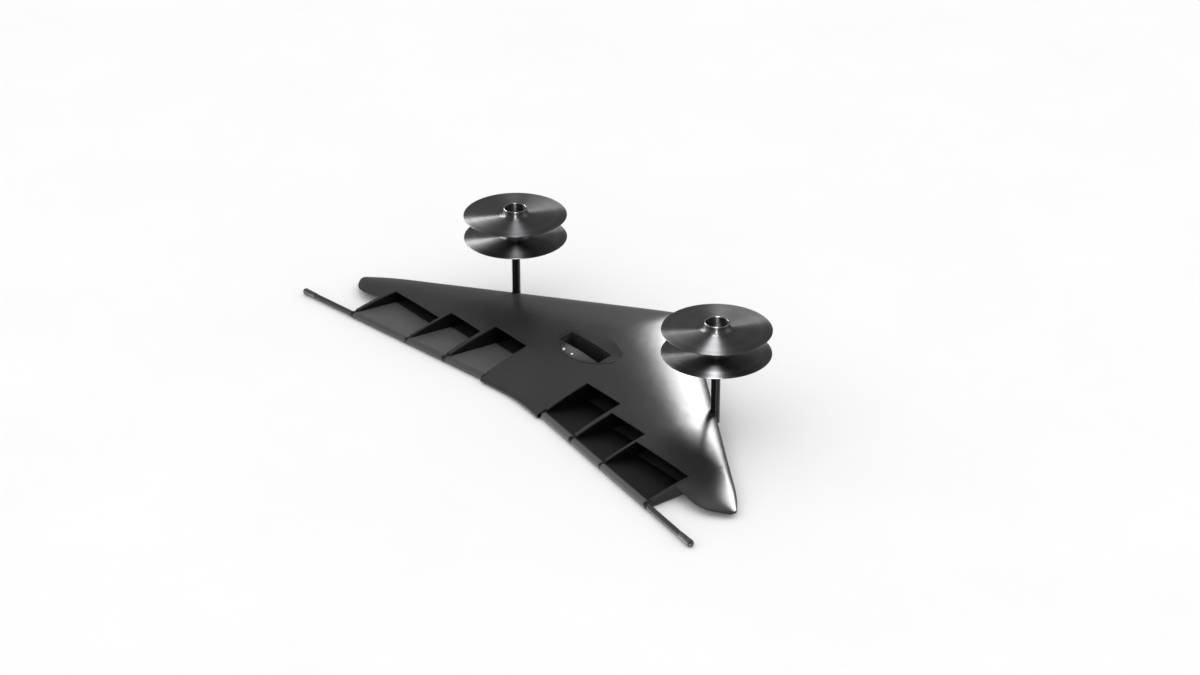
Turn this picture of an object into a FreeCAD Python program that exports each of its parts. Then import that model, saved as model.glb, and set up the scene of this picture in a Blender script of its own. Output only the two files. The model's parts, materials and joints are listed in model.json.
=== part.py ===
import FreeCAD, Part
import math
import os

V = FreeCAD.Vector

# Flying wing with two stacked pairs of disc rotors. Millimetres. +X points to the nose, +Y to the
# left wing tip, +Z up. The origin is on the ground under the middle of the overall length.

# ---- driving dimensions -------------------------------------------------------------------------
NOSE_X = 243.0            # foremost point of the wing
NOSE_SOFT = 14.0          # how far out the two leading edges blend into a round nose
LEAD_SLOPE = 0.62         # leading edge goes back this much per millimetre of span
TAIL_X = -162.4           # where the two trailing edges would meet without the flat middle
TAIL_SLOPE = 0.14
TAIL_SOFT = 40.0          # half width of the flat middle of the trailing edge
WING_Y = 460.0            # half span of the main wing, where the tips start
TIP_Y = 572.0             # half span at the pointed tips
TIP_TAIL_X = -157.0       # rear edge of the tips
TIP_TURN_Y = 520.0        # the rear edge of a tip turns forward from here
TIP_TURN = 1.7            # exponent of that turn
TIP_NOSE_BACK = 8.0       # the nose of the section moves back this much at the point
TIP_TAIL_FORWARD = 33.0   # and the rear edge this much forward
TIP_TAIL_Z = (24.6, 11.0) # top of the rear edge at the root and at the point
TIP_EDGE = 2.5            # thickness of the rear edge
TIP_CREST_AT = 0.55
TIP_CREST_DROP = 8.0
TIP_KEEL_AT = 0.4
TIP_KEEL_RISE = 6.0
BELLY_Z = 2.0             # flat belly, this far off the ground
SKIN = 1.6                # moulded skin thickness
CREST_Z = 63.6            # height of the wing's crest on the centre line
CREST_DROP = 0.0795       # crest height lost per millimetre of span
CREST_AT = 0.35           # crest position as a share of the chord
KEEL_AT = 0.25            # the belly is flat behind this share of the chord
LEAD_Z = 42.0             # height of the leading edge at the nose
LEAD_DROP = 0.055
TAIL_Z = 11.0             # top of the blunt trailing edge
TAIL_CURVE = 1.7          # exponent of the fall from crest to trailing edge

# vents: inner side, outer side and front lip of each bay, from the middle of the wing outwards
BAYS = {"inner": (93.0, 193.0, -67.0), "middle": (202.0, 300.0, -95.0), "outer": (305.0, 453.0, -120.0)}
FENCES = [(88.0, 93.0), (193.0, 202.0), (300.0, 305.0), (453.0, 460.0)]
SPAR_BACK = 45.0          # spar behind the leading edge
SPAR_W = 8.0
SPAR_END_Y = 450.0
RIB_Y = (90.5, 197.5, 270.0, 340.0, 400.0)   # nose ribs
RIB_W = 4.0

# flap rods, swept like the trailing edge
ROD_X = -155.0            # rod axis on the centre line
ROD_SLOPE = 0.136
ROD_Z = 6.6
ROD_R = 5.3
SLEEVE_R = 6.2            # flap sleeve around the rod
LUG_R = 6.4               # bearing lug at the back of each fence
ROD_FIT = 0.05            # running clearance on the radius
ROD_INNER_Y = 89.2        # full diameter starts here, inside the first bearing lug
ROD_OUTER_Y = 598.0
STUB_R = 2.0              # thin inner end that carries the gear
CAP_R = 6.5               # just clear of the ground
CAP_SLEEVE = 30.0
CAP_WALL = 0.4            # at the thin end of the sleeve
FLAP_GAP = 0.8            # each side of a flap
FLAP_FRONT_Z = 5.8
FLAP_THICK = 1.7
SKIN_BACK = 8.0           # skins end this far ahead of the rod axis

# flap drive: equal gears on servo and rod
GEAR_TEETH = 12
GEAR_MODULE = 0.6
GEAR_Y = 66.0             # inner face of the gears, measured along the rod
GEAR_W = 5.0
SERVO_SHAFT_R = 1.6
SERVO_W = 20.0
SERVO_L = 22.0
SERVO_H = 7.6
SERVO_RISE = 0.8          # middle of the servo above the gear axis

# dorsal intake
SLOT_X = (-16.0, 15.0)
SLOT_Y = 60.0
SLOT_CORNER = 2.5
BLISTER_AT = V(9.6, 0, 35.2)          # centre of the flat ellipsoid that the bezel is cut from
BLISTER_HALF = V(72.0, 129.0, 24.5)   # its half axes
BLISTER_TILT = 9.0                    # degrees that it leans back with the skin
DUCT_Z = 8.0
DUCT_WALL = 1.2
OUTLET_W = 28.0
OUTLET_PITCH = 38.0
OUTLET_Z = (11.0, 21.0)
LAMPS = [(-30.5, 26.0), (-30.5, 1.2)]
LAMP_R = 2.6
LAMP_SEAT = 0.5           # under the lamp, above the skin
LAMP_STEM = 1.6           # straight part of the lamp

# rotor masts and rotors
MAST_X = 63.0
MAST_Y = 303.8
MAST_R = 8.3
MAST_FOOT_Z = 31.5
MAST_TOP_Z = 120.6
MAST_BORE = 35.0          # depth of the spindle's bore
SOCKET_Z = 9.0
SOCKET_FIT = 0.1
SOCKET_FOOT = (7.0, 26.0) # half width and top of the foot behind the post
SPIGOT_Z = 11.5
SPIGOT_R = 5.4
SPINDLE_R = 4.0
DISC_Z = {"lower": 150.8, "upper": 197.4}
DISC_R = 100.0
DISC_WEB = 1.5            # top of the web at the foot of the collar, above the rim plane
DISC_RIM = 1.4            # thickness of the rim
HUB_WALL = 1.2            # hub floor's edge outside the collar
COLLAR_R = 22.8
COLLAR_BORE = 20.5
COLLAR_TOP = 15.1         # collar above the rim plane
HUB_FLOOR = -0.8          # floor of the collar bore, from the rim plane
HUB_THICK = 2.4
THROAT_R = 9.0            # trumpet fillet at the foot of the collar
BEARING_R = 8.0
CAN_R = 19.0
CAN_WALL = 1.6
CAN_H = 24.0
MAGNET_T = 1.6
STATOR_R = 14.6
STATOR_SLOTS = 12
STATOR_SLOT_R = (8.5, 13.0)
STATOR_SLOT_W = 1.8
STATOR_MOUTH_W = 1.0
STATOR_HUB_R = 5.6
BASE_T = 2.0
CAN_ROOF = 2.2
CAN_GAP = 1.0             # between the can and the fixed base under it
SPACER_R = 6.0
NUT_R = 5.8               # over the corners
NUT_H = 2.4
WASHER_T = 0.6
SEAT_GAP = 0.3            # between a turning hub floor and what is fixed above it
MAGNET_CUTS = 7

# belly, battery and electronics
SKID_X = (-130.0, 60.0)
SKID_Y = 140.0
SKID_W = 8.0
HATCH_X = (10.0, 125.0)
HATCH_Y = 32.0
HATCH_GAP = 0.3
HATCH_LEDGE = 2.4         # thickness of the frame that the hatch screws into
HATCH_SCREW_IN = 7.0      # screws from the edges of the hatch
PAYLOAD_X = -60.0         # centre of the payload bolt pattern
PAYLOAD_PITCH = 40.0
PAYLOAD_HOLE_R = 1.5
PAYLOAD_PLATE_T = 3.0
BATTERY_X = (19.0, 119.0)
BATTERY_Y = 17.0
BATTERY_H = 27.0
TRAY_X = (-138.0, -92.0)
TRAY_Y = 34.0
TRAY_T = 2.0
CONTROLLER_X = (-132.0, -98.0)
CONTROLLER_Y = (-30.0, 6.0)
CONTROLLER_H = 8.0
RECEIVER_X = (-130.0, -104.0)
RECEIVER_Y = (12.0, 30.0)
RECEIVER_H = 7.0
ESC_X = (-62.0, -24.0)
ESC_Y = (222.0, 243.0)    # inner sides of the two speed controllers of a mast
ESC_W = 17.0
ESC_H = 7.0

SPAN_STATIONS = [0, 20, 50, 100, 170, 250, 330, 400, WING_Y]
TIP_STATIONS = [WING_Y, 490.0, TIP_TURN_Y, 540.0, 556.0, 566.0, TIP_Y]
CURVE_STEPS = 4
TAIL_BULGE = 0.4          # bulge of the blunt trailing edge as a share of its height

# cutting bodies reach at least this far past the wing
FAR_BACK = -320.0
FAR_FRONT = 260.0
FAR_UP = 90.0


# ---- small helpers ------------------------------------------------------------------------------
def box(x, y, z):
    """Block between two values on each axis."""
    return Part.makeBox(x[1] - x[0], y[1] - y[0], z[1] - z[0], V(x[0], y[0], z[0]))


def soft_box(x, y, z, r):
    """Block with rounded upright edges."""
    solid = box(x, y, z)
    upright = [e for e in solid.Edges if abs(e.tangentAt(e.FirstParameter).z) > 0.9]
    return solid.makeFillet(r, upright)


def post(r, x, y, z):
    """Upright cylinder."""
    return Part.makeCylinder(r, z[1] - z[0], V(x, y, z[0]))


def tube(r_out, r_in, x, y, z):
    return post(r_out, x, y, z).cut(post(r_in, x, y, z))


def turned(points, x, y, z):
    """Solid of revolution from a closed (radius, height) outline about an upright axis."""
    wire = Part.makePolygon([V(r, 0, h) for r, h in points + points[:1]])
    solid = Part.Face(wire).revolve(V(0, 0, 0), V(0, 0, 1), 360)
    return solid.translated(V(x, y, z))


def fused(shapes):
    return shapes[0].fuse(shapes[1:]).removeSplitter()


def largest(shape):
    """The main solid of a cut, without the slivers left beside it."""
    return max(shape.Solids, key=lambda solid: solid.Volume)


def mirrored(shape):
    return shape.mirror(V(0, 0, 0), V(0, 1, 0))


def save(name, shapes):
    """Write one node; a list becomes one node of separate solids."""
    solid = Part.makeCompound(shapes) if isinstance(shapes, list) else shapes
    solid.exportStep("parts/" + name + ".step")


def save_both(name, shapes):
    """Write the left pieces and their mirror images on the right as one node."""
    items = shapes if isinstance(shapes, list) else [shapes]
    save(name, items + [mirrored(item) for item in items])


def save_pair(name, shapes):
    """Write the left node and its mirror image on the right."""
    items = shapes if isinstance(shapes, list) else [shapes]
    save(name.replace("SIDE", "left"), items)
    save(name.replace("SIDE", "right"), [mirrored(item) for item in items])


# ---- wing shape ---------------------------------------------------------------------------------
def leading_x(y):
    return NOSE_X - LEAD_SLOPE * (math.hypot(y, NOSE_SOFT) - NOSE_SOFT)


def trailing_x(y):
    return TAIL_X - TAIL_SLOPE * math.hypot(y, TAIL_SOFT)


def leading_z(y):
    return LEAD_Z - LEAD_DROP * abs(y)


def crest_z(y):
    return CREST_Z - CREST_DROP * (math.hypot(y, 2 * NOSE_SOFT) - 2 * NOSE_SOFT)


def smooth(points, first, last):
    """Curve through the points with set end directions, its parameter following the chord lengths."""
    at = [0.0]
    for a, b in zip(points, points[1:]):
        at.append(at[-1] + a.distanceToPoint(b))
    curve = Part.BSplineCurve()
    curve.interpolate(
        Points=points, Parameters=at, Scale=False,
        InitialTangent=first.normalize(), FinalTangent=last.normalize(),
    )
    return curve.toShape()


def section(y, nose, lead_z, crest, crest_h, keel, keel_z, tail, tail_top, tail_low):
    """Closed wing section at one span station: round front, falling top, flat bottom, blunt tail."""
    over = []
    for k in range(CURVE_STEPS + 1):
        a = 0.5 * math.pi * k / CURVE_STEPS
        over.append(V(crest + (nose - crest) * math.cos(a), y, lead_z + (crest_h - lead_z) * math.sin(a)))
    for k in range(1, CURVE_STEPS + 1):
        u = k / CURVE_STEPS
        fall = (crest_h - tail_top) * u ** TAIL_CURVE
        over.append(V(crest + (tail - crest) * u, y, crest_h - fall))
    slope = (crest_h - tail_top) * TAIL_CURVE / (crest - tail)
    under = []
    for k in range(CURVE_STEPS + 1):
        a = 0.5 * math.pi * k / CURVE_STEPS
        under.append(V(keel + (nose - keel) * math.sin(a), y, lead_z - (lead_z - keel_z) * math.cos(a)))
    upper = over[-1]
    lower = V(tail, y, tail_low)
    blunt = V(tail - TAIL_BULGE * (upper.z - lower.z), y, 0.5 * (upper.z + lower.z))
    edges = [
        smooth(over, V(0, 0, 1), V(-1, 0, -slope)),
        Part.Arc(upper, blunt, lower).toShape(),
        Part.LineSegment(lower, under[0]).toShape(),
        smooth(under, V(1, 0, 0), V(0, 0, 1)),
    ]
    return Part.Wire(edges)


def main_section(y, inset):
    chord = leading_x(y) - trailing_x(y)
    side = inset * math.hypot(1, LEAD_SLOPE)
    return section(
        y, leading_x(y) - side, leading_z(y),
        leading_x(y) - CREST_AT * chord, crest_z(y) - inset,
        leading_x(y) - KEEL_AT * chord, BELLY_Z + inset,
        trailing_x(y) + inset, TAIL_Z - inset, BELLY_Z + inset,
    )


def main_wing(inset, half_span):
    stations = SPAN_STATIONS[:-1] + [half_span]
    both = [-y for y in reversed(stations[1:])] + stations
    return Part.makeLoft([main_section(y, inset) for y in both], True, False)


def tip_section(y):
    """Tip station: the rear edge is thin, level with the top of the wing, and turns forward to a point."""
    out = (y - WING_Y) / (TIP_Y - WING_Y)
    turn = max(0.0, (y - TIP_TURN_Y) / (TIP_Y - TIP_TURN_Y)) ** TIP_TURN
    nose = leading_x(y) - TIP_NOSE_BACK * turn
    tail = TIP_TAIL_X + TIP_TAIL_FORWARD * turn
    chord = nose - tail
    tail_top = TIP_TAIL_Z[0] + (TIP_TAIL_Z[1] - TIP_TAIL_Z[0]) * out
    return section(
        y, nose, leading_z(y), nose - TIP_CREST_AT * chord, crest_z(y) - TIP_CREST_DROP * out ** 2,
        nose - TIP_KEEL_AT * chord, BELLY_Z + TIP_KEEL_RISE * out ** 2, tail, tail_top, tail_top - TIP_EDGE,
    )


def wing_tip():
    return Part.makeLoft([tip_section(y) for y in TIP_STATIONS], True, False)


def parting():
    """Everything under the surface that joins the leading edge line to the trailing edge line."""
    def outline(y):
        front = leading_x(y)
        back = trailing_x(y)
        points = [
            V(front + 60, y, leading_z(y)), V(back - 60, y, TAIL_Z - 5.0),
            V(back - 60, y, -20), V(front + 60, y, -20),
        ]
        return Part.makePolygon(points + points[:1])
    return Part.makeLoft([outline(-WING_Y - 40), outline(0), outline(WING_Y + 40)], True, True)


# ---- flap rod frame -----------------------------------------------------------------------------
ROD_ANGLE = math.atan(ROD_SLOPE)
ROD_START = V(ROD_X, 0, ROD_Z)
ROD_DIR = V(-math.sin(ROD_ANGLE), math.cos(ROD_ANGLE), 0)


def rod_x(y):
    return ROD_X - ROD_SLOPE * y


def rod_point(y):
    """Point of the left rod axis at a span value."""
    return ROD_START + ROD_DIR * (y / math.cos(ROD_ANGLE))


def rod_piece(r, y0, y1):
    """Cylinder on the left rod axis between two span values."""
    return Part.makeCylinder(r, (y1 - y0) / math.cos(ROD_ANGLE), rod_point(y0), ROD_DIR)


def to_rod(shape):
    """Place a shape made about the Y axis onto the left rod axis."""
    shape = shape.copy()
    shape.rotate(V(0, 0, 0), V(0, 0, 1), math.degrees(ROD_ANGLE))
    return shape.translated(ROD_START)


def rod_clearance():
    """Space behind the skins outboard of the middle, on the left."""
    y0 = FENCES[0][0]
    y1 = WING_Y + 60
    points = [
        V(rod_x(y0) + SKIN_BACK, y0, -20), V(rod_x(y1) + SKIN_BACK, y1, -20),
        V(rod_x(y1) - 80, y1, -20), V(rod_x(y0) - 80, y0, -20),
    ]
    face = Part.Face(Part.makePolygon(points + points[:1]))
    return face.extrude(V(0, 0, 80))


# ---- skins, spar, fences ------------------------------------------------------------------------
def bay_cut(name):
    inner, outer, lip = BAYS[name]
    return box((FAR_BACK, lip), (inner, outer), (TAIL_Z - 4.5, FAR_UP))


def slot_cut():
    return soft_box(SLOT_X, (-SLOT_Y, SLOT_Y), (20, FAR_UP), SLOT_CORNER)


def socket_post(extra, top):
    return post(MAST_R + SOCKET_FIT + extra, MAST_X, MAST_Y, (SOCKET_Z - extra, top))


def both_sides(shape):
    return [shape, mirrored(shape)]


def skins(outer, inner):
    """Upper and lower skin, cut for the vents, rods, masts, intake, hatch and payload holes."""
    shell = outer.cut(inner)
    cuts = both_sides(rod_clearance()) + both_sides(socket_post(0.3, CREST_Z))
    shell = shell.cut(cuts)
    below = parting()
    bays = []
    for name in BAYS:
        bays += both_sides(bay_cut(name))
    upper = shell.cut(below).cut([slot_cut()] + bays)
    hatch = box(HATCH_X, (-HATCH_Y, HATCH_Y), (-5, 10))
    lower_cuts = [hatch] + payload_posts((-5, 12)) + bays + both_sides(gear_slot())
    lower = shell.common(below).cut(lower_cuts)
    return largest(upper), largest(lower)


def spar_x(y):
    return NOSE_X - SPAR_BACK - LEAD_SLOPE * abs(y)


def spar_prism():
    half = 0.5 * SPAR_W
    end = SPAR_END_Y
    points = [
        V(spar_x(0) + half, 0, -10), V(spar_x(end) + half, end, -10), V(spar_x(end) - half, end, -10),
        V(spar_x(0) - half, 0, -10), V(spar_x(end) - half, -end, -10), V(spar_x(end) + half, -end, -10),
    ]
    face = Part.Face(Part.makePolygon(points + points[:1]))
    return face.extrude(V(0, 0, 110))


def fence(inner, sides):
    """Rib and vent side wall in one plate, with a bearing lug for the flap rod at its back end."""
    y0, y1 = sides
    plate = box((FAR_BACK, spar_x(y1) - 0.5 * SPAR_W), (y0, y1), (0, FAR_UP)).common(inner)
    middle = 0.5 * (y0 + y1)
    plate = plate.cut(box((FAR_BACK, rod_x(middle)), (y0 - 1, y1 + 1), (0, FAR_UP)))
    blank = rod_piece(LUG_R, y0 - 3, y1 + 3).common(box((FAR_BACK, 0), (y0, y1), (-5, 40)))
    bore = rod_piece(ROD_R + ROD_FIT, y0 - 5, y1 + 5)
    return fused([plate, blank]).cut(bore)


def nose_ribs(inner):
    """Short ribs between leading edge and spar on one side."""
    ribs = []
    for y in RIB_Y:
        slab = box((FAR_BACK, FAR_FRONT), (y - 0.5 * RIB_W, y + 0.5 * RIB_W), (0, FAR_UP)).common(inner)
        ahead = box((spar_x(y - 0.5 * RIB_W) + 0.5 * SPAR_W, FAR_FRONT), (y - RIB_W, y + RIB_W), (0, FAR_UP))
        ribs.append(slab.common(ahead))
    return ribs


# ---- flaps, rods and their drive ----------------------------------------------------------------
def flap(name):
    """Vent floor: a thin wedge from under the front lip back to a sleeve on the rod."""
    inner, outer, lip = BAYS[name]
    front = lip - 1.0
    y0 = inner + FLAP_GAP
    y1 = outer - FLAP_GAP
    bottom = FLAP_FRONT_Z - FLAP_THICK

    def side(y):
        back = rod_x(y)
        points = [
            V(back, y, bottom), V(front, y, bottom), V(front, y, FLAP_FRONT_Z),
            V(back + 0.8, y, ROD_Z + SLEEVE_R - 0.1), V(back, y, ROD_Z + SLEEVE_R - 0.1),
        ]
        return Part.makePolygon(points + points[:1])

    plate = Part.makeLoft([side(y0), side(y1)], True, True)
    sleeve = rod_piece(SLEEVE_R, y0 - 2, y1 + 2).common(box((FAR_BACK, 0), (y0, y1), (-5, 40)))
    return fused([plate, sleeve]).cut(rod_piece(ROD_R, y0 - 5, y1 + 5))


def flap_rod():
    """Rod with its thin inner end; it turns in the fence lugs."""
    full = rod_piece(ROD_R, ROD_INNER_Y, ROD_OUTER_Y)
    stub = rod_piece(STUB_R, GEAR_Y - 1.0, ROD_INNER_Y)
    return fused([full, stub])


def rod_cap():
    """Rounded end cap whose sleeve widens along the end of the rod."""
    diag = CAP_R * math.sqrt(0.5)
    mouth = V(ROD_R, 0, -CAP_SLEEVE)
    seat = V(ROD_R, 0, 0)
    middle = V(0, 0, 0)
    top = V(0, 0, CAP_R)
    wide = V(CAP_R, 0, 0)
    thin = V(ROD_R + CAP_WALL, 0, -CAP_SLEEVE)
    edges = [
        Part.LineSegment(mouth, seat), Part.LineSegment(seat, middle), Part.LineSegment(middle, top),
        Part.Arc(top, V(diag, 0, diag), wide), Part.LineSegment(wide, thin), Part.LineSegment(thin, mouth),
    ]
    outline = Part.Wire([e.toShape() for e in edges])
    cap = Part.Face(outline).revolve(V(0, 0, 0), V(0, 0, 1), 360)
    cap.Placement = FreeCAD.Placement(rod_point(ROD_OUTER_Y), FreeCAD.Rotation(V(0, 0, 1), ROD_DIR))
    return cap


def gear(phase):
    """Spur gear about the Y axis, its teeth narrower than the gaps so that a pair runs free."""
    pitch = 0.5 * GEAR_MODULE * GEAR_TEETH
    root = pitch - 1.2 * GEAR_MODULE
    tip = pitch + 0.9 * GEAR_MODULE
    step = 2 * math.pi / GEAR_TEETH
    flank = [(root, -0.34), (pitch, -0.21), (tip, -0.09)]     # radius and share of a tooth step
    points = []
    for k in range(GEAR_TEETH):
        middle = phase + k * step
        for r, share in flank + [(r, -share) for r, share in reversed(flank)]:
            a = middle + share * step
            points.append(V(r * math.cos(a), 0, r * math.sin(a)))
    face = Part.Face(Part.makePolygon(points + points[:1]))
    return face.extrude(V(0, GEAR_W, 0))


GEAR_SPACE = GEAR_MODULE * GEAR_TEETH + 0.1


def gear_slot():
    """Opening in the belly skin under the two gears."""
    tip = 0.5 * GEAR_MODULE * (GEAR_TEETH + 2) + 0.4
    slot = box((-tip, GEAR_SPACE + tip), (GEAR_Y - 0.6, GEAR_Y + GEAR_W + 0.6), (-10, -2.0))
    return to_rod(slot)


def rod_gear():
    teeth = gear(0.0).translated(V(0, GEAR_Y, 0))
    hole = Part.makeCylinder(STUB_R, 20, V(0, GEAR_Y - 5, 0), V(0, 1, 0))
    return to_rod(teeth.cut(hole))


def servo_gear():
    """Gear and output shaft of the flap servo."""
    teeth = gear(math.pi / GEAR_TEETH).translated(V(GEAR_SPACE, GEAR_Y, 0))
    shaft = Part.makeCylinder(SERVO_SHAFT_R, 5.0, V(GEAR_SPACE, GEAR_Y - 4.0, 0), V(0, 1, 0))
    return to_rod(fused([teeth, shaft]))


def servo():
    """Flat servo lying ahead of the rod's inner end, with the bore for its output shaft."""
    face_y = GEAR_Y - 1.0
    x = (GEAR_SPACE - 5.0, GEAR_SPACE - 5.0 + SERVO_W)
    half = 0.5 * SERVO_H
    case = box(x, (face_y - SERVO_L, face_y), (SERVO_RISE - half, SERVO_RISE + half))
    lug = box((x[1], x[1] + 5.0), (face_y - 8.0, face_y - 6.0), (SERVO_RISE - half, SERVO_RISE + half))
    bore = Part.makeCylinder(SERVO_SHAFT_R + ROD_FIT, 8.0, V(GEAR_SPACE, face_y - 5.0, 0), V(0, 1, 0))
    return to_rod(fused([case, lug]).cut(bore))


# ---- intake -------------------------------------------------------------------------------------
def intake_bezel(outer):
    """Low smooth blister round the slot that runs out into the upper skin."""
    stretch = FreeCAD.Matrix()
    stretch.scale(BLISTER_HALF)
    dome = Part.makeSphere(1.0).transformGeometry(stretch)
    dome.rotate(V(0, 0, 0), V(0, 1, 0), -BLISTER_TILT)
    wells = [post(LAMP_R + 0.1, x, y, (40, FAR_UP)) for x, y in LAMPS]
    return largest(dome.translated(BLISTER_AT).cut(outer).cut([slot_cut()] + wells))


def intake_duct(inner):
    """Open-topped duct under the slot, with outlets low in its back wall."""
    def block(extra, z):
        x = (SLOT_X[0] - extra, SLOT_X[1] + extra)
        return box(x, (-SLOT_Y - extra, SLOT_Y + extra), z)

    duct = block(DUCT_WALL, (DUCT_Z, FAR_UP)).cut(block(0, (DUCT_Z + DUCT_WALL, FAR_UP))).common(inner)
    back = (SLOT_X[0] - 2 * DUCT_WALL, SLOT_X[0] + DUCT_WALL)
    half = 0.5 * OUTLET_W
    outlets = [box(back, (y - half, y + half), OUTLET_Z) for y in (-OUTLET_PITCH, 0.0, OUTLET_PITCH)]
    return duct.cut(outlets)


def status_lamps(outer):
    """Two small domed lenses let into the back of the bezel."""
    lamps = []
    for x, y in LAMPS:
        probe = outer.common(Part.LineSegment(V(x, y, 20), V(x, y, FAR_UP)).toShape())
        seat = probe.BoundBox.ZMax + LAMP_SEAT
        stem = post(LAMP_R, x, y, (seat, seat + LAMP_STEM))
        cap = Part.makeSphere(LAMP_R + 0.4, V(x, y, seat + 0.4))
        dome = cap.common(post(LAMP_R, x, y, (seat + LAMP_STEM, seat + 2 * LAMP_R + 1)))
        lamps.append(fused([stem, dome]))
    return lamps


# ---- masts and rotors ---------------------------------------------------------------------------
def mast():
    """Black tube with a rounded foot, a spigot for the socket and a bore for the spindle."""
    body = post(MAST_R, MAST_X, MAST_Y, (MAST_FOOT_Z, MAST_TOP_Z))
    foot = [e for e in body.Edges if abs(e.BoundBox.ZMin - MAST_FOOT_Z) < 0.1 and e.BoundBox.ZLength < 0.1]
    body = body.makeFillet(1.8, foot)
    spigot = post(SPIGOT_R, MAST_X, MAST_Y, (SPIGOT_Z, MAST_FOOT_Z + 1))
    bore = post(SPINDLE_R, MAST_X, MAST_Y, (MAST_TOP_Z - MAST_BORE, MAST_TOP_Z + 1))
    return fused([body, spigot]).cut(bore)


def mast_socket(inner):
    """Post at the leading edge with a foot that reaches back to the spar."""
    half, top = SOCKET_FOOT
    back = spar_x(MAST_Y - half) + 0.5 * SPAR_W
    foot = box((back, MAST_X), (MAST_Y - half, MAST_Y + half), (0, top)).common(inner)
    bore = post(SPIGOT_R, MAST_X, MAST_Y, (SPIGOT_Z, 60))
    return fused([socket_post(0, MAST_FOOT_Z), foot]).cut(bore)


def rotor_disc(level):
    """Spun disc: thin web, trumpet fillet, tall open collar and a hub floor."""
    throat_x = COLLAR_R + THROAT_R
    web = DISC_WEB
    rim = 0.5 * DISC_RIM
    hub = COLLAR_R + HUB_WALL
    lip = 0.5 * (COLLAR_R - COLLAR_BORE)
    diag = THROAT_R * math.sqrt(0.5)
    shoulder = COLLAR_TOP - lip
    p = {
        "bore_floor": V(COLLAR_BORE, 0, HUB_FLOOR), "bore_top": V(COLLAR_BORE, 0, shoulder),
        "lip": V(COLLAR_BORE + lip, 0, COLLAR_TOP), "collar_top": V(COLLAR_R, 0, shoulder),
        "collar_foot": V(COLLAR_R, 0, web + THROAT_R),
        "throat": V(throat_x - diag, 0, web + THROAT_R - diag), "web": V(throat_x, 0, web),
        "rim_top": V(DISC_R - rim, 0, rim), "rim": V(DISC_R, 0, 0), "rim_under": V(DISC_R - rim, 0, -rim),
        "web_under": V(hub, 0, -0.9), "hub_edge": V(hub, 0, HUB_FLOOR - HUB_THICK),
        "hole_under": V(BEARING_R, 0, HUB_FLOOR - HUB_THICK), "hole_top": V(BEARING_R, 0, HUB_FLOOR),
    }
    edges = [
        Part.LineSegment(p["hole_top"], p["bore_floor"]), Part.LineSegment(p["bore_floor"], p["bore_top"]),
        Part.Arc(p["bore_top"], p["lip"], p["collar_top"]),
        Part.LineSegment(p["collar_top"], p["collar_foot"]),
        Part.Arc(p["collar_foot"], p["throat"], p["web"]), Part.LineSegment(p["web"], p["rim_top"]),
        Part.Arc(p["rim_top"], p["rim"], p["rim_under"]),
        Part.LineSegment(p["rim_under"], p["web_under"]), Part.LineSegment(p["web_under"], p["hub_edge"]),
        Part.LineSegment(p["hub_edge"], p["hole_under"]), Part.LineSegment(p["hole_under"], p["hole_top"]),
    ]
    wire = Part.Wire([e.toShape() for e in edges])
    solid = Part.Face(wire).revolve(V(0, 0, 0), V(0, 0, 1), 360)
    return solid.translated(V(MAST_X, MAST_Y, DISC_Z[level]))


def motor_can(level):
    """Bell of the motor under its disc, open at the bottom."""
    top = HUB_FLOOR - HUB_THICK
    inside = CAN_R - CAN_WALL
    roof = top - CAN_ROOF
    points = [
        (BEARING_R, top), (CAN_R, top), (CAN_R, top - CAN_H), (inside, top - CAN_H),
        (inside, roof), (BEARING_R, roof),
    ]
    return turned(points, MAST_X, MAST_Y, DISC_Z[level])


def motor_magnets(level):
    """Ring of separate magnets bonded inside the can."""
    z = DISC_Z[level] + HUB_FLOOR - HUB_THICK
    outside = CAN_R - CAN_WALL
    ring = tube(outside, outside - MAGNET_T, MAST_X, MAST_Y, (z - CAN_H + 3.0, z - 6.0))
    gaps = []
    for k in range(MAGNET_CUTS):
        gap = box((-CAN_R, CAN_R), (-0.5, 0.5), (z - CAN_H, z))
        gap.rotate(V(0, 0, 0), V(0, 0, 1), k * 180 / MAGNET_CUTS)
        gaps.append(gap.translated(V(MAST_X, MAST_Y, 0)))
    return ring.cut(gaps).Solids


def motor_stator(level):
    """Slotted stator with its hub tube, fixed on the spindle."""
    z = DISC_Z[level] + HUB_FLOOR - HUB_THICK
    core = tube(STATOR_R, SPINDLE_R, MAST_X, MAST_Y, (z - CAN_H + 4.0, z - 7.0))
    slots = []
    for k in range(STATOR_SLOTS):
        slot = box(STATOR_SLOT_R, (-0.5 * STATOR_SLOT_W, 0.5 * STATOR_SLOT_W), (z - CAN_H, z))
        mouth = box((STATOR_SLOT_R[0], CAN_R), (-0.5 * STATOR_MOUTH_W, 0.5 * STATOR_MOUTH_W), (z - CAN_H, z))
        for piece in (slot, mouth):
            piece.rotate(V(0, 0, 0), V(0, 0, 1), k * 360 / STATOR_SLOTS)
            slots.append(piece.translated(V(MAST_X, MAST_Y, 0)))
    hub = tube(STATOR_HUB_R, SPINDLE_R, MAST_X, MAST_Y, (z - CAN_H - CAN_GAP, z - CAN_ROOF - 0.4))
    return fused([core.cut(slots), hub])


def rotor_bearings(level):
    """Two ball bearings side by side in hub floor and can."""
    z = DISC_Z[level] + HUB_FLOOR
    half = 0.5 * (HUB_THICK + CAN_ROOF)
    rings = []
    for k in range(2):
        span = (z - (k + 1) * half + 0.05, z - k * half)
        rings.append(tube(BEARING_R, SPINDLE_R + 0.03, MAST_X, MAST_Y, span))
    return rings


def motor_base(level):
    """Plate that closes the motor from below, fixed on the spindle."""
    top = DISC_Z[level] + HUB_FLOOR - HUB_THICK - CAN_H - CAN_GAP
    return tube(CAN_R - 0.6, SPINDLE_R, MAST_X, MAST_Y, (top - BASE_T, top))


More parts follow.
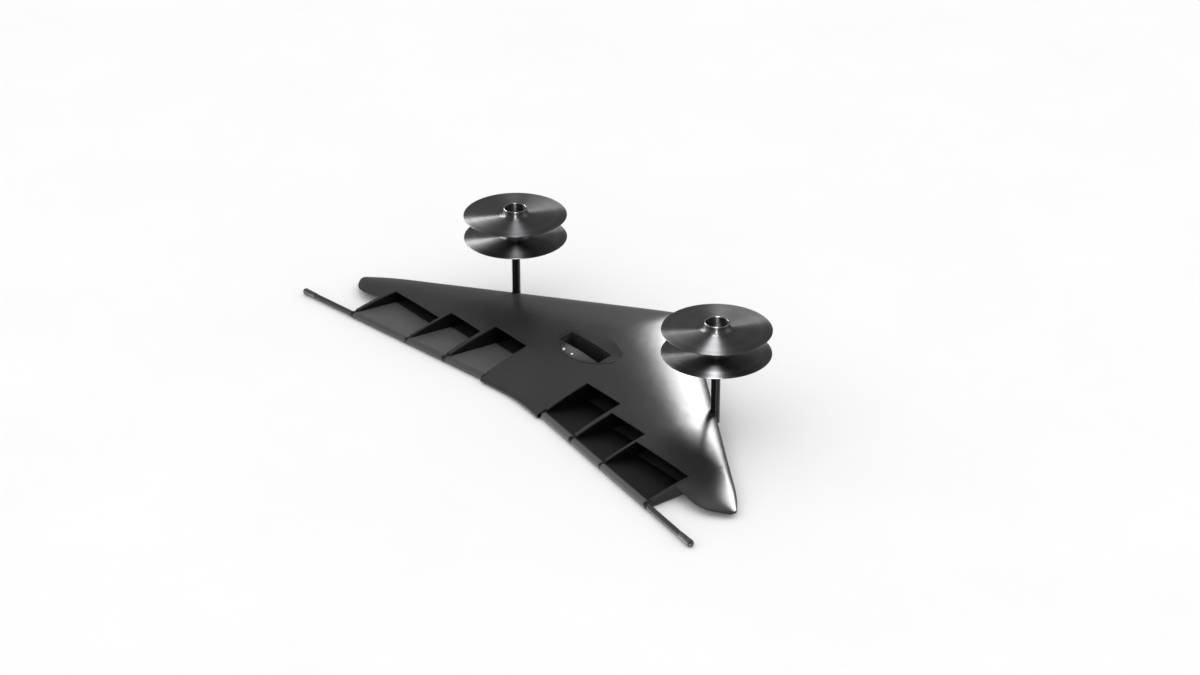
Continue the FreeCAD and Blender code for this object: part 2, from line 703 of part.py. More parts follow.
def spindle():
    top = DISC_Z["upper"] + HUB_FLOOR + SEAT_GAP + WASHER_T + NUT_H + 0.8
    return post(SPINDLE_R, MAST_X, MAST_Y, (MAST_TOP_Z - MAST_BORE + 1.0, top))


def hub_spacer():
    """Tube on the spindle between the lower rotor's bearings and the upper motor's base."""
    low = DISC_Z["lower"] + HUB_FLOOR + SEAT_GAP
    high = DISC_Z["upper"] + HUB_FLOOR - HUB_THICK - CAN_H - CAN_GAP - BASE_T
    return tube(SPACER_R, SPINDLE_R, MAST_X, MAST_Y, (low, high))


def spindle_nut():
    """Hexagon nut with a washer face, down in the collar of the upper disc."""
    low = DISC_Z["upper"] + HUB_FLOOR + SEAT_GAP
    seat = low + WASHER_T
    points = []
    for k in range(7):
        a = k * math.pi / 3
        points.append(V(MAST_X + NUT_R * math.cos(a), MAST_Y + NUT_R * math.sin(a), seat))
    nut = Part.Face(Part.makePolygon(points)).extrude(V(0, 0, NUT_H))
    washer = post(SPACER_R, MAST_X, MAST_Y, (low, seat))
    return fused([nut, washer]).cut(post(SPINDLE_R, MAST_X, MAST_Y, (low - 1, seat + NUT_H + 1)))


# ---- belly and electronics ----------------------------------------------------------------------
def belly_skid():
    return soft_box(SKID_X, (SKID_Y - 0.5 * SKID_W, SKID_Y + 0.5 * SKID_W), (0, BELLY_Z), 3.9)


def payload_posts(z):
    half = 0.5 * PAYLOAD_PITCH
    spots = [(PAYLOAD_X + i * half, j * half) for i in (-1, 1) for j in (-1, 1)]
    return [post(PAYLOAD_HOLE_R, x, y, z) for x, y in spots]


def payload_plate():
    half = 0.5 * PAYLOAD_PITCH + 7.0
    x = (PAYLOAD_X - half, PAYLOAD_X + half)
    z = (BELLY_Z + SKIN, BELLY_Z + SKIN + PAYLOAD_PLATE_T)
    return soft_box(x, (-half, half), z, 5.0).cut(payload_posts((-5, 20)))


def hatch_spots():
    """Screw positions in the corners of the hatch."""
    across = HATCH_Y - HATCH_SCREW_IN
    ends = (HATCH_X[0] + HATCH_SCREW_IN, HATCH_X[1] - HATCH_SCREW_IN)
    return [(x, y) for x in ends for y in (-across, across)]


def battery_hatch():
    x = (HATCH_X[0] + HATCH_GAP, HATCH_X[1] - HATCH_GAP)
    side = HATCH_Y - HATCH_GAP
    plate = box(x, (-side, side), (BELLY_Z, BELLY_Z + SKIN))
    return plate.cut([post(PAYLOAD_HOLE_R, sx, sy, (0, 10)) for sx, sy in hatch_spots()])


def hatch_frame():
    """Ledge inside the belly that the hatch screws into."""
    z = (BELLY_Z + SKIN, BELLY_Z + SKIN + HATCH_LEDGE)
    outside = box((HATCH_X[0] - 5, HATCH_X[1] + 5), (-HATCH_Y - 5, HATCH_Y + 5), z)
    inside = box((HATCH_X[0] + 12, HATCH_X[1] - 12), (12 - HATCH_Y, HATCH_Y - 12), (0, 20))
    return outside.cut([inside] + [post(PAYLOAD_HOLE_R, sx, sy, (0, 10)) for sx, sy in hatch_spots()])


def hatch_screws():
    screws = []
    for sx, sy in hatch_spots():
        head = post(2.8, sx, sy, (BELLY_Z - 1.2, BELLY_Z))
        shank = post(PAYLOAD_HOLE_R, sx, sy, (BELLY_Z, BELLY_Z + SKIN + HATCH_LEDGE))
        screws.append(fused([head, shank]))
    return screws


def battery():
    low = BELLY_Z + SKIN + HATCH_LEDGE
    return soft_box(BATTERY_X, (-BATTERY_Y, BATTERY_Y), (low, low + BATTERY_H), 3.0)


def electronics():
    """Tray behind the payload plate with flight controller and receiver on it."""
    floor = BELLY_Z + SKIN
    top = floor + TRAY_T
    tray = soft_box(TRAY_X, (-TRAY_Y, TRAY_Y), (floor, top), 4.0)
    controller = soft_box(CONTROLLER_X, CONTROLLER_Y, (top, top + CONTROLLER_H), 2.0)
    receiver = soft_box(RECEIVER_X, RECEIVER_Y, (top, top + RECEIVER_H), 2.0)
    return {"electronics_tray": tray, "flight_controller": controller, "radio_receiver": receiver}


def speed_controllers():
    """Two motor controllers side by side on the belly skin near each mast."""
    floor = BELLY_Z + SKIN
    return [soft_box(ESC_X, (y, y + ESC_W), (floor, floor + ESC_H), 2.0) for y in ESC_Y]


def main():
    os.makedirs("parts", exist_ok=True)
    outer = main_wing(0.0, WING_Y)
    inner = main_wing(SKIN, WING_Y + 6.0)
    upper, lower = skins(outer, inner)
    save("upper_skin", upper)
    save("lower_skin", lower)
    save_pair("wing_tip_SIDE", wing_tip())
    save("main_spar", spar_prism().common(inner))
    clear = socket_post(1.5, CREST_Z)
    save_both("vent_fences", [fence(inner, sides) for sides in FENCES])
    save_both("nose_ribs", [rib.cut(clear) for rib in nose_ribs(inner)])
    for name in BAYS:
        save_pair("vent_flap_SIDE_" + name, flap(name))
    save_pair("flap_rod_SIDE", flap_rod())
    save_pair("rod_end_cap_SIDE", rod_cap())
    save_pair("rod_gear_SIDE", rod_gear())
    save_pair("servo_gear_SIDE", servo_gear())
    save_both("flap_servos", servo())
    save("intake_bezel", intake_bezel(outer))
    save("intake_duct", intake_duct(inner))
    save("status_lamps", status_lamps(outer))
    save_pair("rotor_mast_SIDE", mast())
    save_both("mast_sockets", mast_socket(inner))
    save_pair("rotor_spindle_SIDE", spindle())
    save_both("hub_spacers", hub_spacer())
    save_both("spindle_nuts", spindle_nut())
    save_both("motor_stators", [motor_stator(level) for level in DISC_Z])
    save_both("motor_bases", [motor_base(level) for level in DISC_Z])
    for level in DISC_Z:
        save_pair("rotor_disc_SIDE_" + level, rotor_disc(level))
        save_pair("motor_can_SIDE_" + level, motor_can(level))
        save_pair("motor_magnets_SIDE_" + level, motor_magnets(level))
        save_pair("rotor_bearings_SIDE_" + level, rotor_bearings(level))
    save_both("belly_skids", belly_skid())
    save("payload_plate", payload_plate())
    save("battery_hatch", battery_hatch())
    save("hatch_frame", hatch_frame())
    save("hatch_screws", hatch_screws())
    save("battery_pack", battery())
    for name, shape in electronics().items():
        save(name, shape)
    save_both("speed_controllers", speed_controllers())


main()
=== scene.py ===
import json
import math

import bmesh
import bpy
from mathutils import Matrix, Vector

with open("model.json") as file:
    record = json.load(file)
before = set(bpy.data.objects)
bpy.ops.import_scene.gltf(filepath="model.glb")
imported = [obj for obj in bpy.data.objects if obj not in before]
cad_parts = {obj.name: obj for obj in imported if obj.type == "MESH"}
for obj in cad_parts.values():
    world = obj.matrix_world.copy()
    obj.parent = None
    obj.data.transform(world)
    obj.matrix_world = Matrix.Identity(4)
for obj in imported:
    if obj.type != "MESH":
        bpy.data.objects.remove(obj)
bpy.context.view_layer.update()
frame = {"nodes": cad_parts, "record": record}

NODES = frame["nodes"]
SCENE = bpy.context.scene

# ---- view ---------------------------------------------------------------------------------------
CAMERA_AT = Vector((-2.9126, -3.8013, 2.5801))
CAMERA_HEADING = math.radians(52.213)     # from +X towards +Y
CAMERA_DOWN = math.radians(27.611)
CAMERA_LENS = 86.905                      # mm
SENSOR_WIDTH = 36.0                       # mm
FARTHEST_SEEN = 60.0                      # m


def direction(heading, rise):
    """Unit vector at a heading from +X towards +Y and a rise above the horizon, in radians."""
    flat = math.cos(rise)
    return Vector((flat * math.cos(heading), flat * math.sin(heading), math.sin(rise)))


def facing(look):
    """Rotation of a camera or lamp that looks along a vector."""
    return look.to_track_quat("-Z", "Y").to_euler()


def add_camera():
    """Camera behind and to the right of the wing, looking down on it."""
    data = bpy.data.cameras.new("camera")
    data.lens = CAMERA_LENS
    data.sensor_width = SENSOR_WIDTH
    data.clip_end = FARTHEST_SEEN
    camera = bpy.data.objects.new("camera", data)
    camera.location = CAMERA_AT
    camera.rotation_euler = facing(direction(CAMERA_HEADING, -CAMERA_DOWN))
    SCENE.collection.objects.link(camera)
    SCENE.camera = camera


# ---- material helpers ---------------------------------------------------------------------------
MIX_SHARE = 0             # sockets of the mix node when it mixes colours
MIX_UNDER = 6
MIX_OVER = 7
MIX_COLOR = 2

EDGE_BAND_WIDTH = 0.0009       # m from an edge that the band of edge wear and painted edge highlight reaches
EDGE_BAND_SAMPLES = 4
SOFT_SAMPLES = 6


class Shader:
    """A principled material with short calls for the procedural nodes it needs."""

    def __init__(self, name):
        self.material = bpy.data.materials.new(name)
        self.material.use_nodes = True
        self.tree = self.material.node_tree
        self.bsdf = self.tree.nodes["Principled BSDF"]

    def node(self, kind, **settings):
        made = self.tree.nodes.new(kind)
        for key, value in settings.items():
            setattr(made, key, value)
        return made

    def join(self, out, into):
        self.tree.links.new(out, into)

    def feed(self, socket, value):
        """Give a socket a value: another socket, a colour or a number."""
        if isinstance(value, bpy.types.NodeSocket):
            self.join(value, socket)
        elif isinstance(value, tuple):
            socket.default_value = (*value, 1.0)
        else:
            socket.default_value = value

    def fixed(self, **values):
        """Constant sockets of the principled shader, named with underscores for spaces."""
        for key, value in values.items():
            self.bsdf.inputs[key.replace("_", " ")].default_value = value

    def place(self, scale=(1, 1, 1), space="Object"):
        coordinates = self.node("ShaderNodeTexCoord")
        mapping = self.node("ShaderNodeMapping")
        mapping.inputs["Scale"].default_value = scale
        self.join(coordinates.outputs[space], mapping.inputs["Vector"])
        return mapping.outputs["Vector"]

    def axis(self, space, letter):
        """One coordinate of the surface point, or of its normal when space is Normal."""
        parts = self.node("ShaderNodeSeparateXYZ")
        self.join(self.place(space=space), parts.inputs["Vector"])
        return parts.outputs[letter]

    def noise(self, size, detail=4.0, rough=0.55, stretch=(1, 1, 1), vector=None):
        """Noise whose features are about size metres across."""
        made = self.node("ShaderNodeTexNoise")
        made.inputs["Scale"].default_value = 1.0 / size
        made.inputs["Detail"].default_value = detail
        made.inputs["Roughness"].default_value = rough
        self.join(vector or self.place(stretch), made.inputs["Vector"])
        return made.outputs["Fac"]

    def ramp(self, value, dark, light, start=0.3, end=0.7):
        """Colour from dark to light, each a grey or a colour, as value goes from start to end."""
        made = self.node("ShaderNodeValToRGB")
        for element, position, tone in zip(made.color_ramp.elements, (start, end), (dark, light)):
            element.position = position
            element.color = (*as_color(tone), 1.0)
        self.join(value, made.inputs["Fac"])
        return made.outputs["Color"]

    def spread(self, value, low, high, start=0.3, end=0.7):
        """Number from low to high as value goes from start to end."""
        made = self.node("ShaderNodeMapRange")
        self.join(value, made.inputs["Value"])
        made.inputs["From Min"].default_value = start
        made.inputs["From Max"].default_value = end
        made.inputs["To Min"].default_value = low
        made.inputs["To Max"].default_value = high
        return made.outputs["Result"]

    def mix(self, share, under, over):
        """Colour mix; share is a socket or a number."""
        made = self.node("ShaderNodeMix", data_type="RGBA", blend_type="MIX")
        self.feed(made.inputs[MIX_SHARE], share)
        self.feed(made.inputs[MIX_UNDER], under)
        self.feed(made.inputs[MIX_OVER], over)
        return made.outputs[MIX_COLOR]

    def math(self, kind, a, b):
        made = self.node("ShaderNodeMath", operation=kind)
        self.feed(made.inputs[0], a)
        self.feed(made.inputs[1], b)
        return made.outputs[0]

    def vector(self, kind, a, b=None):
        """Vector maths node whose second input, a socket or three numbers, may be left out."""
        made = self.node("ShaderNodeVectorMath", operation=kind)
        self.join(a, made.inputs[0])
        if isinstance(b, bpy.types.NodeSocket):
            self.join(b, made.inputs[1])
        elif b is not None:
            made.inputs[1].default_value = b
        return made

    def surface_normal(self):
        return self.node("ShaderNodeNewGeometry").outputs["Normal"]

    def soft_normal(self, width, samples=SOFT_SAMPLES):
        """Surface normal that turns softly over edges of about this radius in metres."""
        rounded = self.node("ShaderNodeBevel", samples=samples)
        rounded.inputs["Radius"].default_value = width
        return rounded.outputs["Normal"]

    def edges(self):
        """0 on flat faces to 1 along edges, for edge wear and painted edge highlights."""
        softened = self.soft_normal(EDGE_BAND_WIDTH, EDGE_BAND_SAMPLES)
        turned = self.vector("DOT_PRODUCT", self.surface_normal(), softened)
        return self.spread(turned.outputs["Value"], low=1.0, high=0.0, start=0.80, end=0.98)

    def edge_wear_and_highlight(self, color, edge_tone, amount):
        """The colour, moved towards the edge tone along edges: wear, and in some finishes a painted edge
        highlight.
        """
        return self.mix(self.math("MULTIPLY", self.edges(), amount), color, edge_tone)

    def bump(self, height, strength, depth, under=None):
        made = self.node("ShaderNodeBump")
        made.inputs["Strength"].default_value = strength
        made.inputs["Distance"].default_value = depth
        self.join(height, made.inputs["Height"])
        if under is not None:
            self.join(under, made.inputs["Normal"])
        return made.outputs["Normal"]

    def use(self, color, rough, normal=None):
        self.join(color, self.bsdf.inputs["Base Color"])
        self.join(rough, self.bsdf.inputs["Roughness"])
        if normal is not None:
            self.join(normal, self.bsdf.inputs["Normal"])
        return self.material


def as_color(tone):
    """A grey as a colour; a colour as it is."""
    return tone if isinstance(tone, tuple) else (tone, tone, tone)


def paler(color, gain, lift=0.0):
    return tuple(min(1.0, gain * channel + lift) for channel in color)


# ---- materials ----------------------------------------------------------------------------------
# dark and light are the ends of a material's tone, and gloss the ends of its roughness.

def lacquer(name, dark, light, gloss, coat, edge_tone=(0.20, 0.20, 0.205), edge_amount=0.55):
    """Polished dark plastic skin: cloudy tone, wiped smudges, orange peel, and edges painted paler, partly
    as wear and partly as a painted edge highlight.
    """
    s = Shader(name)
    cloud = s.noise(size=0.11, detail=5.0, rough=0.6)
    fleck = s.noise(size=0.0016, detail=2.0, rough=0.5)
    smudge = s.noise(size=0.045, detail=6.0, rough=0.65, stretch=(1.0, 0.35, 1.0))
    peel = s.noise(size=0.0034, detail=2.0, rough=0.4)
    tone = s.ramp(cloud, dark, light, 0.30, 0.72)
    flecked = s.mix(s.spread(fleck, low=0.0, high=0.10, start=0.55, end=0.75), tone, edge_tone)
    # Edges painted paler: partly wear, partly a painted edge highlight.
    color = s.edge_wear_and_highlight(flecked, edge_tone, edge_amount)
    normal = s.bump(peel, strength=0.025, depth=0.0003, under=s.soft_normal(0.0012))
    s.fixed(Coat_Weight=coat, Coat_Roughness=0.12, Specular_IOR_Level=0.5)
    return s.use(color, s.spread(smudge, *gloss), normal)


def flap_plate(name, dark, light, gloss, crown_painted_light):
    """Satin flap plate whose hinge sleeve top, rear-facing faces and edges are painted towards the crown
    tone: a painted highlight where that tone is paler than the plate, painted shade where it is darker.
    """
    s = Shader(name)
    cloud = s.noise(size=0.05, detail=5.0, rough=0.6)
    grain = s.noise(size=0.0012, detail=3.0, rough=0.6)
    tone = s.ramp(cloud, dark, light, 0.30, 0.72)
    # Painted light: the top of the hinge sleeve and the faces turned to the rear are painted in the crown
    # tone.
    painted_light_top = s.spread(s.axis("Generated", "Z"), low=0.0, high=0.8, start=0.960, end=0.985)
    painted_light_back = s.spread(s.axis("Normal", "X"), low=0.8, high=0.0, start=-0.35, end=-0.18)
    painted_light = s.mix(s.math("MAXIMUM", painted_light_top, painted_light_back), tone, crown_painted_light)
    color = s.edge_wear_and_highlight(painted_light, crown_painted_light, 0.7)
    normal = s.bump(grain, strength=0.08, depth=0.0002, under=s.soft_normal(0.0010))
    return s.use(color, s.spread(cloud, *gloss), normal)


def moulded(name, dark, light, gloss=(0.38, 0.52)):
    """Fine-grained moulded plastic."""
    s = Shader(name)
    cloud = s.noise(size=0.03)
    spots = s.noise(size=0.0009, detail=2.0)
    edge_tone = paler(as_color(light), gain=3.0, lift=0.03)
    color = s.edge_wear_and_highlight(s.ramp(cloud, dark, light), edge_tone, 0.6)
    return s.use(color, s.spread(cloud, *gloss), s.bump(spots, strength=0.25, depth=0.0002))


def composite(name, dark, light, gloss=(0.28, 0.42)):
    """Resin-rich carbon cloth: a faint twill under a satin coat."""
    s = Shader(name)
    twill = s.node("ShaderNodeTexWave", bands_direction="DIAGONAL")
    twill.inputs["Scale"].default_value = 160.0
    twill.inputs["Distortion"].default_value = 0.6
    s.join(s.place(), twill.inputs["Vector"])
    threads = twill.outputs["Fac"]
    s.fixed(Coat_Weight=0.3, Coat_Roughness=0.12)
    tone = s.ramp(threads, dark, light, 0.25, 0.8)
    rough = s.spread(s.noise(size=0.04), *gloss)
    return s.use(tone, rough, s.bump(threads, strength=0.12, depth=0.0002))


DISH = 0.28               # how far the spun grain leans outwards, as a slope
QUARTER_TURN = 0.25       # turns the stretched highlight across the grooves


def spun_metal(name, dark, light, gloss, brushed):
    """Metal turned about the upright axis through the middle of each piece: fine circular grooves, with a
    painted highlight on the top rim of each piece and, at half strength, along its edges.
    """
    s = Shader(name)
    centred = s.vector("SUBTRACT", s.place(space="Generated"), (0.5, 0.5, 0.5))
    flat = s.vector("MULTIPLY", centred.outputs["Vector"], (1.0, 1.0, 0.0)).outputs["Vector"]
    radius = s.node("ShaderNodeCombineXYZ")
    s.join(s.vector("LENGTH", flat).outputs["Value"], radius.inputs["X"])
    along_radius = radius.outputs["Vector"]
    fine = s.noise(size=0.004, detail=3.0, rough=0.7, vector=along_radius)
    broad = s.noise(size=0.07, detail=2.0, rough=0.5, vector=along_radius)
    tone = s.ramp(broad, dark, light)
    grooved = s.mix(s.spread(fine, low=0.0, high=0.25, start=0.35), tone, dark)
    # Painted highlight: the top rim of each piece, and its edges at half strength, are painted paler.
    painted_rim_highlight = s.spread(s.axis("Generated", "Z"), low=0.0, high=0.9, start=0.93, end=0.97)
    painted_light = s.math("MAXIMUM", s.math("MULTIPLY", s.edges(), 0.5), painted_rim_highlight)
    color = s.mix(painted_light, grooved, paler(light, gain=2.6))
    tangent = s.node("ShaderNodeTangent", direction_type="RADIAL", axis="Z")
    s.join(tangent.outputs["Tangent"], s.bsdf.inputs["Tangent"])
    s.fixed(Metallic=1.0, Anisotropic=brushed, Anisotropic_Rotation=QUARTER_TURN)
    normal = s.bump(fine, strength=0.04, depth=0.0001, under=dished_normal(s, flat))
    return s.use(color, s.spread(s.noise(size=0.03), *gloss), normal)


def dished_normal(s, flat):
    """Surface normal leaned away from the axis; flat is the way out from it in the piece's own space."""
    outward = s.node("ShaderNodeVectorTransform", vector_type="NORMAL")
    outward.convert_from = "OBJECT"
    outward.convert_to = "WORLD"
    s.join(s.vector("NORMALIZE", flat).outputs["Vector"], outward.inputs["Vector"])
    lean = s.vector("SCALE", outward.outputs["Vector"])
    lean.inputs["Scale"].default_value = DISH
    leaning = s.vector("ADD", s.surface_normal(), lean.outputs["Vector"])
    return s.vector("NORMALIZE", leaning.outputs["Vector"]).outputs["Vector"]


def plain_metal(name, dark, light, gloss=(0.16, 0.26)):
    """Machined or plated metal with small tone changes and rubbed edges."""
    s = Shader(name)
    cloud = s.noise(size=0.008)
    grain = s.noise(size=0.0008, detail=3.0, rough=0.6, stretch=(0.2, 1.0, 1.0))
    color = s.edge_wear_and_highlight(s.ramp(cloud, dark, light), paler(light, gain=1.4, lift=0.1), 0.5)
    s.fixed(Metallic=1.0)
    return s.use(color, s.spread(cloud, *gloss), s.bump(grain, strength=0.08, depth=0.0001))


def black_paint(name, gloss):
    """Satin black enamel with faint drawn streaks along its height."""
    s = Shader(name)
    streak = s.noise(size=0.002, detail=3.0, rough=0.6, stretch=(1.0, 1.0, 0.05))
    cloud = s.noise(size=0.02)
    tone = s.ramp(streak, 0.006, 0.013, 0.3, 0.75)
    color = s.edge_wear_and_highlight(tone, (0.10, 0.10, 0.10), 0.35)
    s.fixed(Coat_Weight=0.25, Coat_Roughness=0.1)
    return s.use(color, s.spread(cloud, *gloss), s.bump(streak, strength=0.06, depth=0.0001))


def rubber(name):
    """Matt black rubber with a fine grain."""
    s = Shader(name)
    grain = s.noise(size=0.0012, detail=3.0)
    tone = s.ramp(s.noise(size=0.02), 0.012, 0.022)
    return s.use(tone, s.spread(grain, low=0.6, high=0.8), s.bump(grain, strength=0.3, depth=0.0003))


def lens(name):
    """Frosted lens of a status lamp."""
    s = Shader(name)
    cloud = s.noise(size=0.002, detail=3.0)
    tone = s.ramp(cloud, (0.75, 0.78, 0.82), (0.9, 0.92, 0.95))
    s.fixed(Coat_Weight=0.8, Coat_Roughness=0.05)
    return s.use(tone, s.spread(cloud, low=0.12, high=0.25), s.bump(cloud, strength=0.05, depth=0.0001))


# How each finish is made and with what settings.
FINISHES = {
    "wing_gloss": (lacquer, dict(dark=0.014, light=0.020, gloss=(0.28, 0.33), coat=0.0, edge_amount=0.10)),
    # vent_plastic: its near-black tone is painted shade on the fence walls, and its paler edge tone paints
    # highlight lines along the fence tops as well as wear.
    "vent_plastic": (
        lacquer, dict(dark=0.0015, light=0.003, gloss=(0.34, 0.44), coat=0.0, edge_tone=(0.22, 0.22, 0.225)),
    ),
    "rod_black": (lacquer, dict(dark=0.02, light=0.035, gloss=(0.18, 0.26), coat=0.4)),
    # The two flap finishes are lit and shaded copies of one plate: the left one painted pale as painted
    # light, the right one painted near black as painted shade. Each crown tone is painted light on the
    # sleeve top and on the rear-facing faces.
    "left_flap": (
        flap_plate, dict(dark=0.085, light=0.105, gloss=(0.30, 0.40), crown_painted_light=(0.055, 0.055, 0.057)),
    ),
    "right_flap": (
        flap_plate, dict(dark=0.0008, light=0.0025, gloss=(0.36, 0.46), crown_painted_light=(0.12, 0.12, 0.123)),
    ),
    "duct_black": (moulded, dict(dark=0.016, light=0.022, gloss=(0.5, 0.6))),
    "case_plastic": (moulded, dict(dark=(0.02, 0.024, 0.036), light=(0.035, 0.04, 0.055))),
    "tray_board": (moulded, dict(dark=0.03, light=0.055)),
    "battery_wrap": (
        moulded, dict(dark=(0.05, 0.055, 0.08), light=(0.08, 0.085, 0.11), gloss=(0.28, 0.38)),
    ),
    "spar_composite": (composite, dict(dark=0.008, light=0.03)),
    "disc_metal": (
        spun_metal,
        dict(dark=(0.15, 0.15, 0.155), light=(0.21, 0.21, 0.216), gloss=(0.31, 0.35), brushed=0.93),
    ),
    "cap_metal": (plain_metal, dict(dark=(0.16, 0.16, 0.165), light=(0.28, 0.28, 0.285))),
    "magnet_plating": (
        plain_metal, dict(dark=(0.45, 0.45, 0.47), light=(0.62, 0.62, 0.64), gloss=(0.12, 0.25)),
    ),
    "stator_iron": (
        plain_metal, dict(dark=(0.10, 0.05, 0.025), light=(0.30, 0.14, 0.06), gloss=(0.3, 0.5)),
    ),
    "bright_steel": (plain_metal, dict(dark=(0.42, 0.42, 0.43), light=(0.6, 0.6, 0.61))),
    "gear_brass": (plain_metal, dict(dark=(0.45, 0.32, 0.12), light=(0.62, 0.46, 0.2))),
    "mast_black": (black_paint, dict(gloss=(0.10, 0.15))),
    "motor_black": (black_paint, dict(gloss=(0.28, 0.4))),
    "skid_rubber": (rubber, {}),
    "lamp_lens": (lens, {}),
}


def finish_of(part):
    """Name of a node's finish. The flaps of each side get their own finish: lit and shaded copies of one
    plate, painted light on the left and painted shade on the right.
    """
    name = part["node"]
    if name.startswith("vent_flap"):
        return "left_flap" if "left" in name else "right_flap"
    return part["material_slot"]


def dress_nodes():
    """Give every CAD node its finish."""
    materials = {name: make(name, **settings) for name, (make, settings) in FINISHES.items()}
    for part in frame["record"]["subparts"]:
        item = NODES[part["node"]]
        item.data.materials.clear()
        item.data.materials.append(materials[finish_of(part)])


# ---- studio -------------------------------------------------------------------------------------
FLOOR_HALF = 14.0         # m
SOFT_EDGE = 0.10          # radians over which a panel fades
DARK_ROOM = 0.20          # what reflections see between the panels
SHOWN_WHITE = 1.12        # what everything else sees

# Panels that only reflections see: middle and half width in degrees left of the view direction,
# middle and half height in degrees above the horizon, and brightness.
PANELS = [
    ("left_front", 34.0, 10.0, 48.0, 8.0, 0.55),
    ("overhead", 0.0, 6.0, 62.0, 9.0, 2.6),
    ("low_front", 0.0, 4.0, 20.0, 5.0, 0.3),
    ("behind_low", 180.0, 14.0, -25.0, 18.0, 2.0),
    ("left_low", 80.0, 25.0, 0.0, 30.0, 0.5),
    ("right_low", -80.0, 25.0, 0.0, 30.0, 0.4),
    ("mast_line", 50.0, 20.0, -27.0, 8.0, 1.6),
    ("mid_left", 20.0, 10.0, 42.0, 7.0, 0.22),
    ("ground", 0.0, 180.0, -50.0, 50.0, 0.22),
]

# Soft boxes, each for the nodes whose names start as given: degrees left of the view direction,
# degrees above the horizon, distance in metres, width and height in metres, and watts.
SOFT_BOXES = [
    ("wing_box", -24.0, 31.0, 4.0, (1.5, 0.7), 125.0, ("upper_skin", "wing_tip")),
    ("tip_box", -25.5, 40.1, 3.64, (1.3, 0.7), 60.0, ("wing_tip",)),
    ("right_top_box", 180.0, 88.0, 3.0, (0.8, 0.6), 50.0, ("rotor_disc_right_upper",)),
    ("left_top_box", 180.0, 88.0, 3.0, (0.8, 0.6), 17.0, ("rotor_disc_left_upper",)),
    ("collar_box", 180.0, 22.0, 3.0, (0.8, 0.8), 40.0, ("rotor_disc_left_upper", "rotor_disc_right_upper")),
    ("right_front_box", 180.0, 52.0, 3.0, (0.8, 1.2), 340.0, ("rotor_disc_right_lower",)),
    ("left_front_box", 180.0, 52.0, 3.0, (0.8, 1.2), 130.0, ("rotor_disc_left_lower",)),
    ("near_sector_box", 52.0, 28.0, 3.0, (2.6, 0.5), 48.0, ("rotor_disc",)),
    ("right_far_box", -16.7, 11.5, 2.86, (0.65, 0.3), 2.2, ("rotor_disc_right",)),
    ("left_far_box", -4.0, 10.0, 3.26, (0.65, 0.3), 1.8, ("rotor_disc_left",)),
    ("slot_box", -90.0, 45.0, 3.0, (1.0, 1.0), 80.0, ("intake_duct",)),
    ("bezel_box", -90.0, 45.0, 3.0, (1.6, 1.6), 40.0, ("intake_bezel",)),
    ("glint_box", 25.0, 36.0, 3.0, (0.35, 0.35), 6.0, ("intake_bezel",)),
]


def add_floor():
    """Plain pale paper that reflections don't see."""
    mesh = bpy.data.meshes.new("floor")
    form = bmesh.new()
    bmesh.ops.create_grid(form, x_segments=1, y_segments=1, size=FLOOR_HALF)
    form.to_mesh(mesh)
    form.free()
    floor = bpy.data.objects.new("floor", mesh)
    SCENE.collection.objects.link(floor)
    floor.visible_glossy = False
    s = Shader("floor_paper")
    tone = s.ramp(s.noise(size=0.4, detail=3.0), 0.90, 0.92)
    mesh.materials.append(s.use(tone, s.spread(s.noise(size=0.05), low=0.7, high=0.8)))


def add_soft_box(name, left_of_view, above, distance, size, power, starts):
    """Soft box that looks at the wing and lights only the nodes whose names start as given."""
    data = bpy.data.lights.new(name, "AREA")
    data.shape = "RECTANGLE"
    data.size, data.size_y = size
    data.energy = power
    lamp = bpy.data.objects.new(name, data)
    out = direction(CAMERA_HEADING + math.radians(left_of_view), math.radians(above))
    lamp.location = out * distance
    lamp.rotation_euler = facing(-out)
    lamp.visible_camera = False
    SCENE.collection.objects.link(lamp)
    receivers = bpy.data.collections.new(name + "_receivers")
    for node in NODES:
        if node.startswith(starts):
            receivers.objects.link(NODES[node])
    lamp.light_linking.receiver_collection = receivers


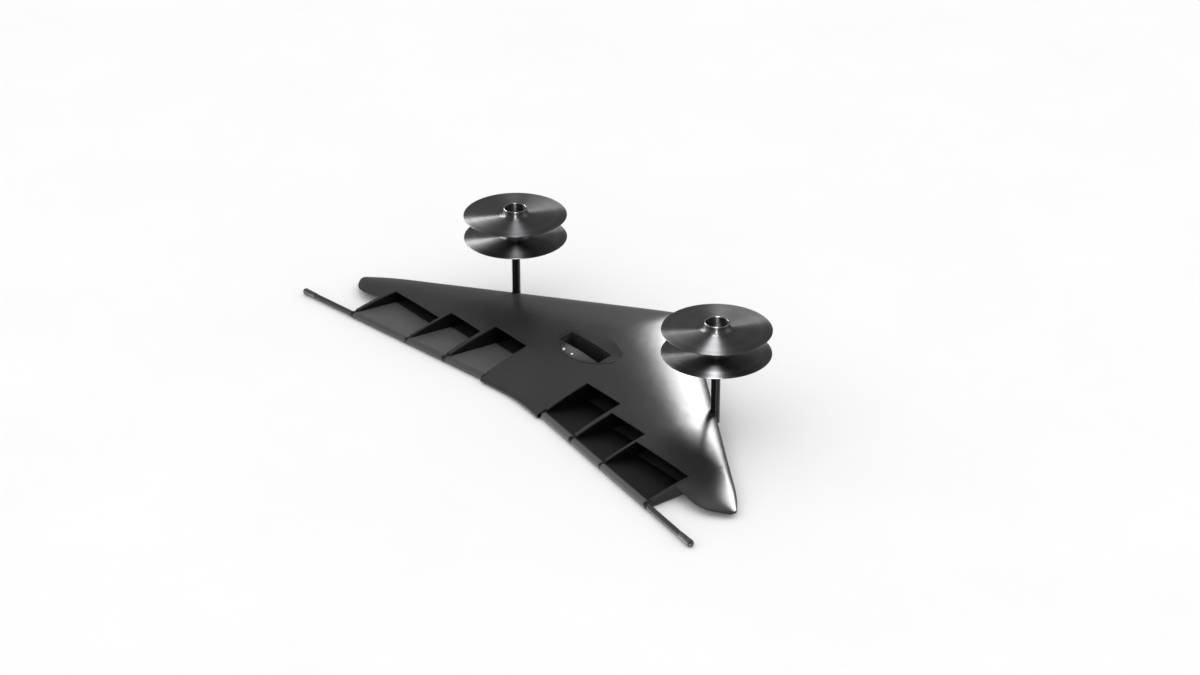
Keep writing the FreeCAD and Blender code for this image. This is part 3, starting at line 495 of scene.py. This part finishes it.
class Sky:
    """World shader: even white for the floor and the background, soft panels for reflections."""

    def __init__(self, name):
        self.world = bpy.data.worlds.new(name)
        self.world.use_nodes = True
        self.world.cycles.sampling_method = "NONE"
        self.tree = self.world.node_tree
        self.background = self.tree.nodes["Background"]

    def math(self, kind, *values):
        made = self.tree.nodes.new("ShaderNodeMath")
        made.operation = kind
        for socket, value in zip(made.inputs, values):
            if isinstance(value, bpy.types.NodeSocket):
                self.tree.links.new(value, socket)
            else:
                socket.default_value = value
        return made.outputs[0]

    def fade(self, off_middle, half):
        """1 inside a panel's half width or height to 0 outside it."""
        made = self.tree.nodes.new("ShaderNodeMapRange")
        made.interpolation_type = "SMOOTHSTEP"
        made.inputs["From Min"].default_value = half + SOFT_EDGE
        made.inputs["From Max"].default_value = half - SOFT_EDGE
        self.tree.links.new(off_middle, made.inputs["Value"])
        return made.outputs["Result"]

    def patch(self, azimuth, height, panel):
        """Brightness that one panel adds in a direction."""
        _, middle, half_width, above, half_height, bright = panel
        turned = self.math("SUBTRACT", azimuth, math.radians(middle))
        across = self.math("ABSOLUTE", self.math("WRAP", turned, math.pi, -math.pi))
        along = self.math("ABSOLUTE", self.math("SUBTRACT", height, math.radians(above)))
        wide = self.fade(across, math.radians(half_width))
        tall = self.fade(along, math.radians(half_height))
        return self.math("MULTIPLY", self.math("MULTIPLY", wide, tall), bright)

    def angles(self):
        """Azimuth left of the view direction and height above the horizon, in radians."""
        coordinates = self.tree.nodes.new("ShaderNodeTexCoord")
        turn = self.tree.nodes.new("ShaderNodeVectorRotate")
        turn.rotation_type = "Z_AXIS"
        turn.inputs["Angle"].default_value = -CAMERA_HEADING
        self.tree.links.new(coordinates.outputs["Generated"], turn.inputs["Vector"])
        parts = self.tree.nodes.new("ShaderNodeSeparateXYZ")
        self.tree.links.new(turn.outputs["Vector"], parts.inputs["Vector"])
        azimuth = self.math("ARCTAN2", parts.outputs["Y"], parts.outputs["X"])
        return azimuth, self.math("ARCSINE", parts.outputs["Z"])

    def build(self):
        azimuth, height = self.angles()
        total = DARK_ROOM
        for panel in PANELS:
            total = self.math("ADD", self.patch(azimuth, height, panel), total)
        glossy = self.tree.nodes.new("ShaderNodeLightPath").outputs["Is Glossy Ray"]
        seen = self.math("MULTIPLY", total, glossy)
        even = self.math("MULTIPLY", self.math("SUBTRACT", 1.0, glossy), SHOWN_WHITE)
        self.tree.links.new(self.math("ADD", seen, even), self.background.inputs["Color"])
        return self.world


def add_studio():
    add_floor()
    SCENE.world = Sky("studio").build()
    for box in SOFT_BOXES:
        add_soft_box(*box)
    SCENE.view_settings.view_transform = "Standard"


add_camera()
dress_nodes()
add_studio()
